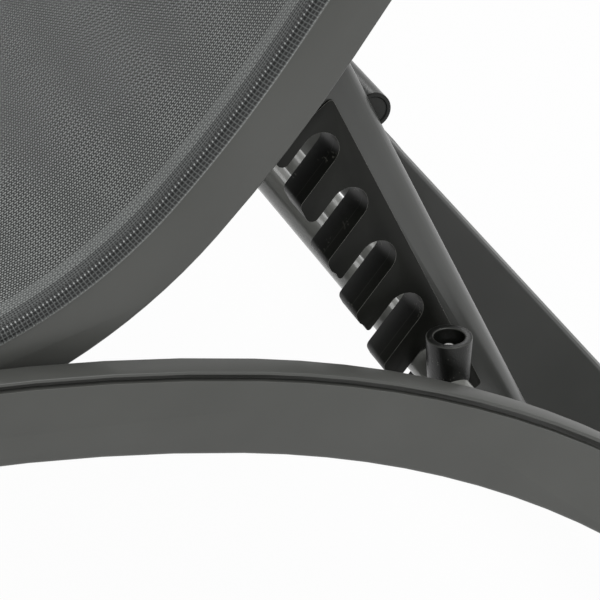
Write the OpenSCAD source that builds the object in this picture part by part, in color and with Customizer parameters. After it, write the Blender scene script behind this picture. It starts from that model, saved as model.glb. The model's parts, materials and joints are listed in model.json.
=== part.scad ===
// Reclining sun lounger. Two arched rails carry a sling seat. The sling backrest turns on a bolt in
// each rail and is held up by a strut frame whose toothed racks hook over a support bar.
// Head towards +X, the user's left towards -Y, origin on the floor under the middle of the box.

/* [Overall] */
// Width over the outer faces of the two base rails
overall_w = 680; // [600:10:760]
// Height of the top of the base rails at their crest, above the floor
crest_h = 370; // [350:5:400]

/* [Rail section] */
// Height of the base rail section
base_rail_h = 60; // [54:1:66]
// Height of the backrest rail section
back_rail_h = 46; // [40:1:50]
// Thickness of both rail sections, across the lounger
rail_t = 20; // [18:1:24]
// Wall of both rail sections
rail_wall = 2; // [1.5:0.1:2.5]
// Corner radius of both rail sections
rail_corner = 3; // [1:0.5:4]
// Height of the groove that holds the edge of the sling
groove_h = 5; // [4.5:0.5:6]
// Depth of the groove
groove_d = 5.5; // [5:0.5:8]
// Lip of the rail above the groove
groove_lip = 2; // [1.5:0.5:3]

/* [Base rail path] */
// Bend radius of the rail over the crest
crest_r = 1216; // [1100:10:1400]
// Turn of the crest bend towards the head
crest_turn = 14.1; // [12:0.1:16]
// Bend radius from the crest bend down to the rear foot
rear_r = 725; // [700:5:760]
// Turn of the crest bend towards the foot end
seat_turn = 5; // [4:0.5:6]
// Bend radius of the hollow of the seat
hollow_r = 1500; // [1300:10:1700]
// Turn of the hollow of the seat
hollow_turn = 8; // [7:0.5:9]
// Bend radius under the knees
knee_r = 1100; // [900:10:1300]
// Turn under the knees
knee_turn = 9; // [8:0.5:10]
// Straight length under the calves
calf_l = 520; // [440:10:580]
// Bend radius into the front leg
toe_r = 120; // [100:5:150]
// Turn into the front leg
toe_turn = 74; // [70:1:78]

/* [Base fittings] */
// Diameter of the support bar that the racks hook over
bar_d = 25; // [22:0.5:25]
// Wall of all round tubes
tube_wall = 2; // [1.5:0.1:2.5]
// Slope of the rear bend where the support bar stands
bar_turn = 26.46; // [24:0.02:28]
// Height of the support bar above the centre line of the rail
bar_rise = 16.5; // [12:0.5:17]
// Slope of the rear bend at the rear cross rail, where the tight bend to the foot starts
cross_turn = 46; // [42:0.5:48]
// Bend radius at the rear foot
heel_r = 200; // [180:5:400]
// Diameter of the cross tubes under the seat
seat_tube_d = 25; // [20:1:28]
// Depth of the seat tubes below the centre line of the rail
seat_tube_drop = 10; // [4:1:14]
// Distance of the rear seat tube from the crest, along the rail
seat_tube_rear = 38; // [37:1:60]
// Distance of the middle seat tube from the crest, along the rail
seat_tube_mid = 500; // [400:10:600]
// Distance of the front seat tube from the crest, along the rail
seat_tube_front = 960; // [860:10:1000]
// Height of the plastic shoes on the rail ends
foot_h = 30; // [20:1:40]
// Wall of the shoes around the rail
foot_wall = 2.5; // [2:0.5:4]
// Thickness of the shoe under the rail
foot_sole = 3; // [2:0.5:6]

/* [Buffer] */
// Diameter of the buffer at its top
buffer_d = 31; // [28:0.5:32]
// Diameter of the buffer at its seat
buffer_base_d = 28; // [26:0.5:31]
// Height of the top of the buffer above the support bar
buffer_h = 26; // [22:1:28]
// Depth to which the buffer straddles the support bar
buffer_seat = 6; // [4:0.5:8]
// Diameter of the recess in the buffer
buffer_hole_d = 21; // [18:0.5:22]
// Rubber left under the head of the buffer screw
buffer_floor = 15; // [12:0.5:17]

/* [Hinge] */
// Distance of the backrest hinge from the crest, towards the head
hinge_x = 15; // [10:1:20]
// Diameter of the hinge bolt
bolt_d = 8; // [6:1:10]
// Diameter of the domed head of the hinge bolt
bolt_head_d = 18; // [16:1:20]
// Height of the bolt head
bolt_head_h = 5; // [4:0.5:6]
// Space between base rail and backrest rail, filled by the hinge washer
hinge_gap = 6; // [4:0.5:10]
// Diameter of the hinge washer
washer_d = 30; // [24:1:36]
// Outer diameter of the bush in the backrest rail
hinge_bush_d = 14; // [12:1:16]
// Height of the cap nut
nut_h = 9; // [7:0.5:12]
// Width of the cap nut across its flats
nut_w = 13; // [11:1:17]

/* [Backrest path] */
// Length of the backrest rail behind the hinge
back_tail = 23; // [20:1:24]
// Straight length of the backrest rail from the hinge to its bend
back_lead = 18; // [16:1:30]
// Bend radius at the small of the back
lumbar_r = 331.6; // [320:0.1:340]
// Turn at the small of the back
lumbar_turn = 44.84; // [44:0.02:46]
// Bend radius of the back
back_r = 848.6; // [800:0.1:900]
// Turn of the back
back_turn = 9.2; // [8.4:0.1:10]
// Straight length behind the shoulders
shoulder_l = 200; // [180:5:240]
// Bend radius of the head end, which curves the other way
head_r = 700; // [600:10:800]
// Turn of the head end
head_turn = 16; // [12:0.5:18]

/* [Backrest fittings] */
// Diameter of the bars between the backrest rails
back_bar_d = 25; // [20:1:26]
// Distance of the lower bar from the lower end of the backrest rail
lower_bar_at = 62; // [58:1:80]
// Distance of the top bar from the upper end of the backrest rail
top_bar_at = 16; // [14:1:30]
// Diameter of the tube that the struts turn on
pivot_d = 20; // [18:0.5:20]
// Thickness of the end caps of the backrest rails
cap_t = 3; // [2:0.5:4]
// Depth of the plugs of all end caps
plug_l = 14; // [8:1:16]

/* [Strut] */
// Distance of the strut's outer face from the outer face of the base rail
strut_inset = 75; // [74:1:90]
// Width of the strut across the lounger
strut_w = 26; // [24:1:28]
// Distance of the strut's flat front from the axis of the support bar
strut_front = 17.5; // [17:0.5:19]
// Distance of the strut's round back from the axis of the support bar
strut_back = 48; // [46:0.5:50]
// Wall of the strut
strut_wall = 2; // [1.5:0.1:2.5]
// Distance of the strut pivot from the axis of the support bar, across the strut
pivot_t = 31; // [30:0.5:32.5]
// Length of the strut below the support bar
strut_foot = 90; // [88:1:110]
// Outer diameter of the bush in the strut
bush_d = 24; // [23:0.5:25]
// Diameter of the flanges of that bush
bush_flange_d = 29; // [26:1:32]
// Thickness of the flanges of that bush
bush_flange_t = 1.5; // [1:0.5:3]
// Diameter of the two bars that tie the struts together
tie_d = 25; // [20:1:26]
// Distance of the upper tie bar above the support bar, along the strut
tie_up = 187; // [184:1:200]
// Distance of the upper tie bar's axis from the axis of the support bar, across the strut
tie_t = 47.2; // [46:0.2:49]
// Distance of the lower tie bar below the support bar, along the strut
tie_down = 72; // [66:1:72]
// Thickness of the end caps of the strut and of the upper tie bar
end_cap_t = 4; // [2:0.5:6]

/* [Rack] */
// Number of slots in a rack
slots = 5; // [4:1:5]
// Distance from slot to slot
slot_pitch = 48; // [46:1:50]
// Clearance around the support bar in a slot
slot_gap = 0.7; // [0.5:0.1:1]
// Tilt of the slots from square to the strut
slot_tilt = 25.2; // [20:0.2:28]
// Distance from the bar's axis to the centre of a slot's closed end
slot_depth = 2.7; // [1.5:0.1:2.9]
// Distance from the bar's axis to the tips of the teeth
tooth_tip = 26; // [24:0.5:28]
// Rounding of the teeth
tooth_round = 5; // [3:0.5:6]
// Height of the lip that keeps the bar in its slot
tooth_lip = 1.8; // [0.5:0.1:2.5]
// Rounding of the rack's ends
rack_round = 14; // [10:1:16]
// Length of the rack above its top slot
rack_top = 20; // [18:1:26]
// Slope of the rack's top edge
rack_top_slope = 11; // [6:1:14]
// Length of the rack below the support bar
rack_bottom = 38; // [36:1:44]
// Reach of the rack's side flanges over the strut
flange_reach = 7.9; // [6:0.1:10]
// Thickness of the side flanges
flange_t = 1.8; // [1.5:0.1:2.5]
// Diameter of the rack screws
rack_screw_d = 4; // [3:0.5:4]

/* [Sling] */
// Thickness of the slings
sling_t = 2; // [1.5:0.1:3]
// Distance of the rear edge of the seat sling from the crest, along the rail
seat_sling_from = 20; // [16:1:30]
// Turn of the toe bend that the seat sling covers
seat_sling_turn = 36; // [20:1:50]
// Distance of the backrest sling from both ends of its rails
back_sling_from = 6; // [3:1:10]
// Diameter of the cord in the sling's edge
cord_d = 4; // [3:0.5:4]

/* [Clearances] */
// Clearance around parts that are fixed to each other
fit = 0.1; // [0.05:0.05:0.2]
// Radial clearance in the turning joints
run_fit = 0.05; // [0.02:0.01:0.09]
// Clearance beside parts that turn next to each other
side_gap = 0.3; // [0.2:0.1:0.6]

/* [Hidden] */
$fn = 64;

frame_colour = "#4a4b4f";
strut_colour = "#6d6a6a";
plastic_colour = "#26262a";
rubber_colour = "#19191b";
metal_colour = "#b9bbbe";
sling_colour = "#5d5a5e";

// ---- Paths: a pose is [x, z, slope]; a stretch is [radius, turn] for a bend, [0, length] if straight
function bend(p, r, a) =
    let (g = sign(a), s = p[2] + a, cx = p[0] - g * r * sin(p[2]), cz = p[1] + g * r * cos(p[2]))
    [cx + g * r * sin(s), cz - g * r * cos(s), s];
function straight(p, l) = [p[0] + l * cos(p[2]), p[1] + l * sin(p[2]), p[2]];
function advance(p, seg) = seg[0] == 0 ? straight(p, seg[1]) : bend(p, seg[0], seg[1]);
function walk(p, segs, n) = n == 0 ? p : advance(walk(p, segs, n - 1), segs[n - 1]);
function seg_length(seg) = seg[0] == 0 ? seg[1] : seg[0] * abs(seg[1]) * PI / 180;
function part_of(seg, d) = seg[0] == 0 ? [0, d] : [seg[0], sign(seg[1]) * d / seg[0] * 180 / PI];
// pose at a distance along a path
function pose_at(p, segs, d, i = 0) =
    d <= seg_length(segs[i]) || i == len(segs) - 1
        ? advance(p, part_of(segs[i], d))
        : pose_at(advance(p, segs[i]), segs, d - seg_length(segs[i]), i + 1);
// stretches left after a distance is cut from the start of a path
function cut_start(segs, d) = concat([part_of(segs[0], seg_length(segs[0]) - d)],
    [for (i = [1:len(segs) - 1]) segs[i]]);
// stretches left after a distance is cut from the end
function cut_end(segs, d) = concat([for (i = [0:len(segs) - 2]) segs[i]],
    [part_of(segs[len(segs) - 1], seg_length(segs[len(segs) - 1]) - d)]);
function above(pose, h) = [pose[0] - h * sin(pose[2]), pose[1] + h * cos(pose[2])];

// ---- Base rail, with x measured from its crest
half_w = overall_w / 2;
crest_z = crest_h - base_rail_h / 2;
crest_pose = [0, crest_z, 0];
rear_start = bend(crest_pose, crest_r, -crest_turn);
rear_centre = above(rear_start, -rear_r);
heel_start = bend(rear_start, rear_r, crest_turn - cross_turn);
heel_centre = above(heel_start, -heel_r);
floor_turn = acos(-heel_centre[1] / heel_r);
past_floor = 10; // turn past the floor, cut off there
rear_path = [[crest_r, -crest_turn], [rear_r, crest_turn - cross_turn],
    [heel_r, cross_turn - floor_turn - past_floor]];
front_bends = [[crest_r, -seat_turn], [hollow_r, hollow_turn], [knee_r, -knee_turn], [0, calf_l],
    [toe_r, -toe_turn]];
leg_top = walk(crest_pose, front_bends, len(front_bends));
leg_slope = -leg_top[2];
leg_l = leg_top[1] / sin(leg_slope);
leg_past = 25; // length past the floor, cut off there
front_path = concat(front_bends, [[0, leg_l + leg_past]]);
// the farthest points of the shoes, on the floor
shoe_reach = base_rail_h / 2 + foot_wall;
rear_end = heel_centre[0] + sqrt(pow(heel_r + shoe_reach, 2) - pow(heel_centre[1], 2));
front_end = straight(leg_top, leg_l)[0] + shoe_reach / sin(leg_slope);
crest_x = (front_end - rear_end) / 2;
function on_rear(turn, rise) = rear_centre + (rear_r + rise) * [sin(turn), cos(turn)];

// ---- Support bar, hinge and backrest path, with x measured from the crest
bar = on_rear(bar_turn, bar_rise);
hinge = [hinge_x, crest_z - crest_r + sqrt(pow(crest_r, 2) - pow(hinge_x, 2))];
back_half = half_w - rail_t - hinge_gap;
back_start = [hinge[0] - back_tail, hinge[1], 0];
back_path = [[0, back_tail + back_lead], [lumbar_r, lumbar_turn], [back_r, back_turn],
    [0, shoulder_l], [head_r, -head_turn]];
back_end = walk(back_start, back_path, len(back_path));
pivot = walk(back_start, back_path, 3);

// ---- Strut frame: local x runs down the strut, y across it towards the head, z outwards
reach = bar - [pivot[0], pivot[1]];
pivot_s = -sqrt(pow(norm(reach), 2) - pow(pivot_t, 2));
strut_lean = -atan2(reach[1], reach[0]) - atan(pivot_t / -pivot_s);
strut_mid = half_w - strut_inset - strut_w / 2;
strut_depth = strut_back - strut_front;
nose_r = strut_back - pivot_t;
rack_w = strut_w + 2 * flange_t;
tie_half = strut_mid - 2;
inner_face = strut_mid - strut_w / 2;

module at_crest() translate([crest_x, 0, 0]) children();
module right_side() mirror([0, 1, 0]) children();
module at_strut() at_crest() translate([bar[0], 0, bar[1]]) rotate([0, strut_lean, 0])
    rotate([90, 0, 0]) children();
// keeps what lies between two heights
module between(z0, z1) intersection() {
    children();
    translate([-2 * rear_r, -overall_w, z0]) cube([6 * rear_r, 2 * overall_w, z1 - z0]);
}

// ---- Sweeps: a section point is [up across the rail, outwards on the left side]
ring_turn = 2.5; // turn from ring to ring in a bend
function rings(p, seg) = seg[0] == 0 ? [advance(p, seg)]
    : let (n = ceil(abs(seg[1]) / ring_turn)) [for (i = [1:n]) advance(p, [seg[0], seg[1] * i / n])];
function path_poses(p, segs) = concat([p],
    [for (i = [0:len(segs) - 1]) each rings(walk(p, segs, i), segs[i])]);
// the same poses on the far side of the crest, in the order of rising x
function foot_side(poses) = [for (i = [len(poses) - 1:-1:0]) [-poses[i][0], poses[i][1], -poses[i][2]]];
module sweep(poses, loop) {
    n = len(loop);
    last = len(poses) - 1;
    polyhedron(
        points = [for (p = poses, q = loop) let (at = above(p, q[0])) [at[0], -q[1], at[1]]],
        faces = concat([[for (i = [0:n - 1]) i]], [[for (i = [n - 1:-1:0]) last * n + i]],
            [for (k = [0:last - 1], i = [0:n - 1]) let (j = (i + 1) % n)
                [k * n + j, k * n + i, (k + 1) * n + i, (k + 1) * n + j]]));
}
module along_straight(p, l) translate([p[0], 0, p[1]]) rotate([0, -p[2], 0]) rotate([180, 0, 0])
    rotate([0, 90, 0]) linear_extrude(l) children();

// ---- Sections
module rounded_rect(h, w, r) {
    square([h - 2 * r, w], center = true);
    square([h, w - 2 * r], center = true);
    for (x = [-1, 1], y = [-1, 1]) translate([x * (h / 2 - r), y * (w / 2 - r)]) circle(r);
}
module hollow_rect(h, gap) translate([-(groove_lip + groove_h) / 2, 0])
    square([h - groove_lip - groove_h - 2 * rail_wall - 2 * gap, rail_t - 2 * rail_wall - 2 * gap],
        center = true);
// a loop of points round a rectangle with rounded corners, from the outer top corner downwards
corner_steps = 3;
function arc_points(c, r, from, to) = [for (i = [0:corner_steps])
    let (a = from + (to - from) * i / corner_steps) c + r * [cos(a), sin(a)]];
function rect_loop(h, half, t, r) = concat(
    arc_points([h / 2 - r, half - r], r, 0, 90), arc_points([r - h / 2, half - r], r, 90, 180),
    arc_points([r - h / 2, half - t + r], r, 180, 270), arc_points([h / 2 - r, half - t + r], r, 270, 360));
// the rail's loop has a tighter outer top corner and the groove below it
function rail_loop(h, half) = let (top = h / 2 - groove_lip, r = rail_corner, r1 = groove_lip / 2) concat(
    arc_points([h / 2 - r1, half - r1], r1, 0, 90),
    [[top, half], [top, half - groove_d], [top - groove_h, half - groove_d], [top - groove_h, half]],
    arc_points([r - h / 2, half - r], r, 90, 180),
    arc_points([r - h / 2, half - rail_t + r], r, 180, 270),
    arc_points([h / 2 - r, half - rail_t + r], r, 270, 360));
function hollow_loop(h, half) = let (top = h / 2 - groove_lip - groove_h - rail_wall,
    low = rail_wall - h / 2, out = half - rail_wall, in = half - rail_t + rail_wall)
    [[top, out], [low, out], [low, in], [top, in]];
function sling_loop(h, half) = let (out = half + fit + sling_t, low = h / 2 + fit,
    lip = low - groove_lip - groove_h / 2)
    [[low + sling_t, out], [lip, out], [lip, half + fit], [low, half + fit],
        [low, -half - fit], [lip, -half - fit], [lip, -out], [low + sling_t, -out]];
cord_sides = 8;
function cord_loop(h, half) = [for (i = [0:cord_sides - 1])
    [h / 2 - groove_lip - groove_h / 2, half - groove_d / 2]
        + cord_d / 2 * [cos(i * 360 / cord_sides), sin(i * 360 / cord_sides)]];
module tube(y0, y1, d) translate([0, y0, 0]) rotate([-90, 0, 0]) difference() {
    cylinder(h = y1 - y0, d = d);
    translate([0, 0, -1]) cylinder(h = y1 - y0 + 2, d = d - 2 * tube_wall);
}
// strut section: x across the strut's width, y from its flat front to its round back
module strut_section(grow) {
    r = strut_w / 2 + grow;
    translate([-r, strut_front - grow]) square([2 * r, strut_back - strut_front - strut_w / 2 + grow]);
    translate([0, strut_back - strut_w / 2]) circle(r);
}
// the strut section drawn along the strut
module strut_bar(s0, s1, grow) translate([s0, 0, strut_mid]) rotate([0, 90, 0])
    linear_extrude(s1 - s0) strut_section(grow);

// ---- Base
base_poses = concat(foot_side(path_poses(crest_pose, front_path)),
    [for (i = [1:len(path_poses(crest_pose, rear_path)) - 1]) path_poses(crest_pose, rear_path)[i]]);
module base_rail() at_crest() difference() {
    between(foot_sole, 2 * crest_h) sweep(base_poses, rail_loop(base_rail_h, half_w));
    sweep(base_poses, hollow_loop(base_rail_h, half_w));
    translate([hinge[0], -half_w - 1, hinge[1]]) rotate([-90, 0, 0])
        cylinder(h = rail_t + 2, d = bolt_d + 2 * fit);
}
module base_rail_left() color(frame_colour) base_rail();
module base_rail_right() color(frame_colour) right_side() base_rail();

module support_bar() color(strut_colour) at_crest() translate([bar[0], 0, bar[1]]) difference() {
    tube(rail_t - half_w, half_w - rail_t, bar_d);
    for (side = [-1, 1]) translate([0, side * buffer_y, 0]) cylinder(h = bar_d, r = screw_r + fit);
}
module rear_cross_rail() color(frame_colour) at_crest() {
    at = on_rear(cross_turn, 0);
    translate([at[0], half_w - rail_t, at[1]]) rotate([0, cross_turn, 0]) rotate([90, 0, 0])
        linear_extrude(overall_w - 2 * rail_t) rotate([0, 0, 90]) difference() {
            rounded_rect(base_rail_h, rail_t, rail_corner);
            rounded_rect(base_rail_h - 2 * rail_wall, rail_t - 2 * rail_wall, rail_corner / 2);
        }
}
module seat_tube(distance) color(frame_colour) at_crest() mirror([1, 0, 0]) {
    at = above(pose_at(crest_pose, front_path, distance), -seat_tube_drop);
    translate([at[0], 0, at[1]]) tube(rail_t - half_w, half_w - rail_t, seat_tube_d);
}
module seat_tube_rear() seat_tube(seat_tube_rear);
module seat_tube_middle() seat_tube(seat_tube_mid);
module seat_tube_front() seat_tube(seat_tube_front);

module shoe(poses) color(plastic_colour) at_crest() difference() {
    between(0, foot_h) sweep(poses, rect_loop(base_rail_h + 2 * foot_wall, half_w + foot_wall,
        rail_t + 2 * foot_wall, rail_corner + foot_wall));
    between(foot_sole, foot_h + 1) sweep(poses,
        rect_loop(base_rail_h + 2 * fit, half_w + fit, rail_t + 2 * fit, groove_lip / 2));
}
module rear_shoe() shoe(path_poses(heel_start, [rear_path[2]]));
module front_shoe() shoe(foot_side(path_poses(leg_top, [[0, leg_l + leg_past]])));
module front_foot_left() front_shoe();
module front_foot_right() right_side() front_shoe();
module rear_foot_left() rear_shoe();
module rear_foot_right() right_side() rear_shoe();

// ---- Buffers on the support bar, under the backrest rails
buffer_y = back_half - rail_t / 2 - 7; // inwards of the rail's middle, where its screw is reached
screw_r = 2.5;
screw_head_r = 5;
screw_head_h = 3.2;
screw_l = 24;
module at_buffer() at_crest() translate([bar[0], -buffer_y, bar[1]]) children();
module buffer() color(rubber_colour) at_buffer() difference() {
    low = bar_d / 2 - buffer_seat;
    high = bar_d / 2 + buffer_h;
    translate([0, 0, low]) cylinder(h = high - low, d1 = buffer_base_d, d2 = buffer_d);
    translate([0, 0, bar_d / 2 + buffer_floor]) cylinder(h = buffer_h, d = buffer_hole_d);
    cylinder(h = high, r = screw_r + fit);
    translate([0, -buffer_d, 0]) rotate([-90, 0, 0]) cylinder(h = 2 * buffer_d, d = bar_d + 2 * fit);
}
module buffer_left() buffer();
module buffer_right() right_side() buffer();
module buffer_screw() at_buffer() translate([0, 0, bar_d / 2 + buffer_floor + fit]) difference() {
    union() {
        cylinder(h = screw_head_h - 1, r = screw_head_r);
        translate([0, 0, screw_head_h - 1]) cylinder(h = 1, r1 = screw_head_r, r2 = screw_head_r - 1);
        translate([0, 0, -screw_l]) cylinder(h = screw_l, r = screw_r);
    }
    for (a = [0, 90]) rotate([0, 0, a]) translate([-3, -0.5, screw_head_h - 1.8]) cube([6, 1, 3]);
}
module buffer_screws() color(metal_colour) {
    buffer_screw();
    right_side() buffer_screw();
}

// ---- Hinge: bolt through base rail, washer and bush, with a cap nut inside
module at_hinge(y) at_crest() translate([hinge[0], y, hinge[1]]) rotate([-90, 0, 0]) children();
bolt_l = rail_t + hinge_gap + rail_t + 2 * side_gap;
module hinge_bolt() color(metal_colour) at_hinge(-half_w) {
    cylinder(h = bolt_l + nut_h / 2, d = bolt_d);
    difference() {
        translate([0, 0, -bolt_head_h / 2]) cylinder(h = bolt_head_h / 2, d = bolt_head_d);
        hex_socket();
    }
    difference() {
        translate([0, 0, -bolt_head_h])
            cylinder(h = bolt_head_h / 2, d1 = bolt_head_d - 5, d2 = bolt_head_d);
        hex_socket();
    }
}
module hex_socket() translate([0, 0, -bolt_head_h - 1]) cylinder(h = bolt_head_h, d = 5.8, $fn = 6);
module hinge_washer() color(plastic_colour) at_hinge(rail_t - half_w) difference() {
    cylinder(h = hinge_gap - side_gap, d = washer_d);
    translate([0, 0, -1]) cylinder(h = hinge_gap + 2, d = bolt_d + 2 * fit);
}
module hinge_nut() color(metal_colour) at_hinge(bolt_l - half_w) difference() {
    union() {
        cylinder(h = nut_h * 0.6, d = nut_w / cos(30), $fn = 6);
        cylinder(h = nut_h, d = nut_w - 2);
    }
    translate([0, 0, -1]) cylinder(h = nut_h / 2 + 1 + fit, d = bolt_d + 2 * fit);
}
module hinge_bush() color(plastic_colour) at_hinge(-back_half) difference() {
    cylinder(h = rail_t, d = hinge_bush_d);
    translate([0, 0, -1]) cylinder(h = rail_t + 2, d = bolt_d + 2 * run_fit);
}
module hinge_bolt_left() hinge_bolt();
module hinge_bolt_right() right_side() hinge_bolt();
module hinge_washer_left() hinge_washer();
module hinge_washer_right() right_side() hinge_washer();
module hinge_nut_left() hinge_nut();
module hinge_nut_right() right_side() hinge_nut();
module hinge_bush_left() hinge_bush();
module hinge_bush_right() right_side() hinge_bush();

// ---- Backrest
module back_rail_place() translate([0, back_half - rail_t / 2]) children();
back_poses = path_poses(back_start, back_path);
// the hollow runs out past both ends
back_hollow_poses = concat([straight(back_start, -1)],
    [for (i = [1:len(back_poses) - 2]) back_poses[i]], [straight(back_end, 1)]);
module back_section_tube() at_crest() difference() {
    sweep(back_poses, rail_loop(back_rail_h, back_half));
    sweep(back_hollow_poses, hollow_loop(back_rail_h, back_half));
}
module backrest_rail() color(frame_colour) difference() {
    back_section_tube();
    at_hinge(-back_half - 1) cylinder(h = rail_t + 2, d = hinge_bush_d + 2 * fit);
}
module backrest_rail_left() backrest_rail();
module backrest_rail_right() right_side() backrest_rail();
module back_bar(distance) color(frame_colour) at_crest() {
    at = pose_at(back_start, back_path, distance);
    translate([at[0], 0, at[1]]) tube(rail_t - back_half, back_half - rail_t, back_bar_d);
}
back_l = seg_length(back_path[0]) + seg_length(back_path[1]) + seg_length(back_path[2])
    + seg_length(back_path[3]) + seg_length(back_path[4]);
module backrest_lower_bar() back_bar(lower_bar_at);
module backrest_top_bar() back_bar(back_l - top_bar_at);
module strut_pivot_tube() color(frame_colour) at_crest() translate([pivot[0], 0, pivot[1]])
    tube(rail_t - back_half + side_gap, back_half - rail_t - side_gap, pivot_d);
// end caps with a plug that enters the hollow of the rail
module lower_cap() rail_cap_at(back_start[0], back_start[1], 0, -1);
module upper_cap() rail_cap_at(back_end[0], back_end[1], back_end[2], 1);
// dir is 1 on the upper end, -1 on the lower end
module rail_cap_at(x, z, slope, dir) color(plastic_colour) at_crest() {
    face = straight([x, z, slope], dir > 0 ? 0 : -cap_t);
    along_straight(face, cap_t) back_rail_place() rounded_rect(back_rail_h, rail_t, rail_corner);
    along_straight(straight([x, z, slope], dir > 0 ? -plug_l : 0), plug_l) back_rail_place()
        hollow_rect(back_rail_h, 2 * fit);
}
module rail_cap_lower_left() lower_cap();
module rail_cap_lower_right() right_side() lower_cap();
module rail_cap_upper_left() upper_cap();
module rail_cap_upper_right() right_side() upper_cap();

// ---- Strut frame
module strut() color(strut_colour) at_strut() difference() {
    intersection() {
        strut_bar(pivot_s - nose_r, strut_foot, 0);
        union() {
            translate([pivot_s, 0, 0]) cube([strut_foot - pivot_s, 2 * strut_back, half_w]);
            translate([pivot_s, pivot_t, 0]) cylinder(h = half_w, r = nose_r);
        }
    }
    strut_bar(pivot_s - nose_r - 1, strut_foot + 1, -strut_wall);
    translate([pivot_s, pivot_t, 0]) cylinder(h = half_w, d = bush_d + 2 * fit);
    translate([-tie_up, tie_t, 0]) cylinder(h = tie_half + end_cap_t, d = tie_d + 2 * fit);
    for (s = rack_screw_at) translate([s, rack_screw_t, 0])
        cylinder(h = strut_mid, d = rack_screw_d + 2 * fit);
}
module strut_left() strut();
module strut_right() right_side() strut();
module strut_bush() color(plastic_colour) at_strut() translate([pivot_s, pivot_t, inner_face])
    difference() {
        union() {
            cylinder(h = strut_w, d = bush_d);
            for (z = [-bush_flange_t, strut_w]) translate([0, 0, z])
                cylinder(h = bush_flange_t, d = bush_flange_d);
        }
        translate([0, 0, -bush_flange_t - 1])
            cylinder(h = strut_w + 2 * bush_flange_t + 2, d = pivot_d + 2 * run_fit);
    }
module strut_bush_left() strut_bush();
module strut_bush_right() right_side() strut_bush();
module upper_tie_bar() color(strut_colour) at_strut() translate([-tie_up, tie_t, 0])
    rotate([90, 0, 0]) tube(-tie_half, tie_half, tie_d);
module lower_tie_bar() color(strut_colour) at_strut() translate([tie_down, pivot_t, 0])
    rotate([90, 0, 0]) tube(-inner_face, inner_face, tie_d);
module tie_bar_cap() color(plastic_colour) at_strut() translate([-tie_up, tie_t, tie_half]) {
    cylinder(h = 1.5, d = tie_d);
    translate([0, 0, -plug_l]) cylinder(h = plug_l, d = tie_d - 2 * tube_wall - 2 * fit);
}
module tie_bar_cap_left() tie_bar_cap();
module tie_bar_cap_right() right_side() tie_bar_cap();
module strut_end_cap() color(plastic_colour) at_strut() {
    strut_bar(strut_foot, strut_foot + end_cap_t, 0);
    strut_bar(strut_foot - plug_l, strut_foot, -strut_wall - fit);
}
module strut_end_cap_left() strut_end_cap();
module strut_end_cap_right() right_side() strut_end_cap();

// ---- Rack: an outline with rounded corners, cut by the round ends of its slots
function corner(a, b, c, r) =
    let (u = (a - b) / norm(a - b), v = (c - b) / norm(c - b), half = acos(u * v) / 2,
        d = min(r / tan(half), 0.49 * norm(a - b), 0.49 * norm(c - b)), rr = d * tan(half),
        m = b + (u + v) / norm(u + v) * rr / sin(half), a0 = b + u * d - m, a1 = b + v * d - m)
    r == 0 ? [b] : [for (i = [0:6]) let (w = a0 * (1 - i / 6) + a1 * i / 6) m + w / norm(w) * rr];
function rounded(pts) = [for (i = [0:len(pts) - 1])
    let (n = len(pts), a = pts[(i + n - 1) % n], b = pts[i], c = pts[(i + 1) % n])
    each corner([a[0], a[1]], [b[0], b[1]], [c[0], c[1]], b[2])];
slot_r = bar_d / 2 + slot_gap;
slot_run = [sin(slot_tilt), -cos(slot_tilt)]; // from the closed end to the mouth
slot_wall = [cos(slot_tilt), sin(slot_tilt)] * slot_r; // from the slot's middle to its lower wall
slot_first = -(slots - 1) * slot_pitch;
function slot_end(i) = [slot_first + i * slot_pitch - slot_depth * tan(slot_tilt), slot_depth];
function on_wall(i, side, t) = let (p = slot_end(i) + side * slot_wall)
    p + slot_run * (p[1] - t) / cos(slot_tilt);
slot_steps = 16; // flats round the closed end
function slot_round(i, a) = let (p = slot_end(i) + slot_r * [cos(slot_tilt + a), sin(slot_tilt + a)])
    [p[0], p[1], 0];
lip_w = 8; // width of the lip along the rack
function slot_points(i) =
    let (u = on_wall(i, -1, -tooth_tip), lip = i == 0 ? 0 : tooth_lip,
        l = on_wall(i, 1, -tooth_tip - lip))
    concat([[u[0], u[1], tooth_round]], [for (k = [0:slot_steps]) slot_round(i, 180 - 180 * k / slot_steps)],
        [[l[0], l[1], tooth_round]],
        i == 0 || i == slots - 1 ? []
            : [[l[0] + lip_w, l[1], tooth_lip], [l[0] + lip_w + 2 * tooth_lip, -tooth_tip, tooth_lip]]);
rack_edge = strut_front + flange_reach;
rack_outline = concat(
    [[slot_first - rack_top - rack_top_slope, rack_edge, 3],
        [slot_first - rack_top, -tooth_tip, rack_round]],
    [for (i = [0:slots - 1]) each slot_points(i)],
    [[rack_bottom, -tooth_tip - tooth_lip, tooth_round], [rack_bottom, rack_edge, 3]]);
rack_screw_t = strut_front + flange_reach / 2;
rack_screw_at = [slot_first - rack_top / 2, rack_bottom / 2];
module rack() color(plastic_colour) at_strut() difference() {
    translate([0, 0, strut_mid - rack_w / 2]) linear_extrude(rack_w) polygon(rounded(rack_outline));
    strut_bar(slot_first - 3 * rack_top, 2 * rack_bottom, fit);
    for (s = rack_screw_at) translate([s, rack_screw_t, 0])
        cylinder(h = strut_mid, d = rack_screw_d + 2 * fit);
}
module rack_left() rack();
module rack_right() right_side() rack();
module rack_screw(s) at_strut() translate([s, rack_screw_t, strut_mid - rack_w / 2 - fit]) {
    translate([0, 0, -2]) cylinder(h = 2, d1 = rack_screw_d, d2 = rack_screw_d + 3);
    cylinder(h = 10, d = rack_screw_d);
}
module rack_screws() color(metal_colour) for (s = rack_screw_at) {
    rack_screw(s);
    right_side() rack_screw(s);
}

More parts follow.
